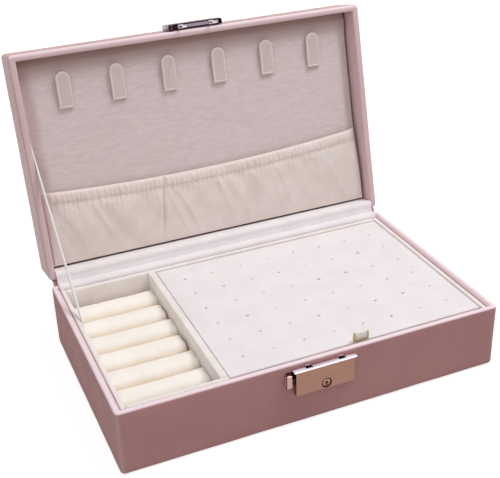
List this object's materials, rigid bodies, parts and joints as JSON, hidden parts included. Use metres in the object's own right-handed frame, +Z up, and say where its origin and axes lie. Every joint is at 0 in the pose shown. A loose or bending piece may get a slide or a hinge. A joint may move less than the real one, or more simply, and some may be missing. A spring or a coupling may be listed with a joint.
{
  "type": "lockable travel jewelry box",
  "caption": "Leather-wrapped travel jewelry box, standing open: hinged lid with pocket and necklace tabs, ring rolls, lift-out earring tray, and a front lock with a push button and a key cylinder, without a key.",
  "frame": {"origin": "middle of the base's underside, on the table", "axes": "+X to the right as seen from the lock, +Y towards the hinge, +Z up"},
  "size_m": [0.23, 0.2028, 0.1811],
  "materials": {
    "pink_leather": "pale pink artificial leather wrapped over board",
    "pink_leather_strip": "pale pink artificial leather, semi-matt",
    "velour_board": "board covered with white velour",
    "white_velour": "short matt nap",
    "cream_velvet": "cream velvet over foam",
    "foam": "soft foam",
    "fibreboard": "stiff board",
    "lid_lining": "board covered with creased soft lining",
    "pocket_cloth": "thin gathered cloth",
    "satin_ribbon": "satin",
    "elastic": "woven elastic",
    "plated_steel": "polished nickel plate",
    "bright_steel": "bright plated steel"
  },
  "bodies": {
    "base": {"base_shell": "pink_leather", "base_bottom_cover": "pink_leather", "liner_left": "velour_board", "liner_right": "velour_board", "liner_front": "velour_board", "liner_back": "velour_board", "liner_floor": "velour_board", "divider_wall": "velour_board", "ring_foam": "foam", "ring_roll_1": "cream_velvet", "ring_roll_2": "cream_velvet", "ring_roll_3": "cream_velvet", "ring_roll_4": "cream_velvet", "ring_roll_5": "cream_velvet", "ring_roll_6": "cream_velvet", "tray_ledge": "velour_board", "well_divider_1": "velour_board", "well_divider_2": "velour_board", "lock_back_plate": "bright_steel", "lock_cover": "plated_steel", "lock_rivet_1": "bright_steel", "lock_rivet_2": "bright_steel", "lock_spring": "bright_steel", "hinge_spine": "pink_leather_strip", "hinge_lining": "white_velour", "ribbon_stay": "satin_ribbon"},
    "lid": {"lid_shell": "pink_leather", "lid_foam": "foam", "lid_lining_panel": "lid_lining", "elastic_pocket": "pocket_cloth", "pocket_elastic": "elastic", "strike_cover": "plated_steel", "strike_hooks": "bright_steel", "strike_rivet_1": "bright_steel", "strike_rivet_2": "bright_steel"},
    "tab_1": {"necklace_tab_1": "white_velour"},
    "tab_2": {"necklace_tab_2": "white_velour"},
    "tab_3": {"necklace_tab_3": "white_velour"},
    "tab_4": {"necklace_tab_4": "white_velour"},
    "tab_5": {"necklace_tab_5": "white_velour"},
    "tab_6": {"necklace_tab_6": "white_velour"},
    "tray": {"tray_board": "fibreboard", "tray_pad": "white_velour"},
    "loop": {"pull_loop": "satin_ribbon"},
    "slider": {"lock_button": "plated_steel", "slide_bar": "bright_steel"},
    "key": {"key_cylinder": "bright_steel", "lock_cam": "bright_steel"}
  },
  "joints": [
    {"name": "lid_hinge", "type": "hinge", "parent": "base", "child": "lid", "pos_m": [0, 0.0707, 0.0412], "axis": [-1, 0, 0], "range_deg": [-103.9, 0], "deforming": ["hinge_spine", "hinge_lining", "ribbon_stay"]},
    {"name": "tray_lift", "type": "slide", "parent": "base", "child": "tray", "axis": [0, 0, 1], "range_m": [0, 0.06]},
    {"name": "loop_fold", "type": "hinge", "parent": "tray", "child": "loop", "pos_m": [0.0284, -0.0616, 0.039], "axis": [-1, 0, 0], "range_deg": [0, 80], "stiffness_Nm_per_rad": 0.0005},
    {"name": "lock_press", "type": "slide", "parent": "base", "child": "slider", "axis": [1, 0, 0], "range_m": [0, 0.002], "stiffness_N_per_m": 200, "springref_m": -0.003, "deforming": ["lock_spring"]},
    {"name": "key_turn", "type": "hinge", "parent": "base", "child": "key", "pos_m": [0.00175, -0.0711, 0.0254], "axis": [0, 1, 0], "range_deg": [-90, 0]},
    {"name": "tab_1_flex", "type": "hinge", "parent": "lid", "child": "tab_1", "pos_m": [-0.08445, 0.10318, 0.13999], "axis": [1, 0, 0], "range_deg": [0, 20], "stiffness_Nm_per_rad": 0.002, "springref_deg": -2.86},
    {"name": "tab_2_flex", "type": "hinge", "parent": "lid", "child": "tab_2", "pos_m": [-0.05115, 0.10318, 0.13999], "axis": [1, 0, 0], "range_deg": [0, 20], "stiffness_Nm_per_rad": 0.002, "springref_deg": -2.86},
    {"name": "tab_3_flex", "type": "hinge", "parent": "lid", "child": "tab_3", "pos_m": [-0.01785, 0.10318, 0.13999], "axis": [1, 0, 0], "range_deg": [0, 20], "stiffness_Nm_per_rad": 0.002, "springref_deg": -2.86},
    {"name": "tab_4_flex", "type": "hinge", "parent": "lid", "child": "tab_4", "pos_m": [0.01545, 0.10318, 0.13999], "axis": [1, 0, 0], "range_deg": [0, 20], "stiffness_Nm_per_rad": 0.002, "springref_deg": -2.86},
    {"name": "tab_5_flex", "type": "hinge", "parent": "lid", "child": "tab_5", "pos_m": [0.04875, 0.10318, 0.13999], "axis": [1, 0, 0], "range_deg": [0, 20], "stiffness_Nm_per_rad": 0.002, "springref_deg": -2.86},
    {"name": "tab_6_flex", "type": "hinge", "parent": "lid", "child": "tab_6", "pos_m": [0.08205, 0.10318, 0.13999], "axis": [1, 0, 0], "range_deg": [0, 20], "stiffness_Nm_per_rad": 0.002, "springref_deg": -2.86}
  ]
}
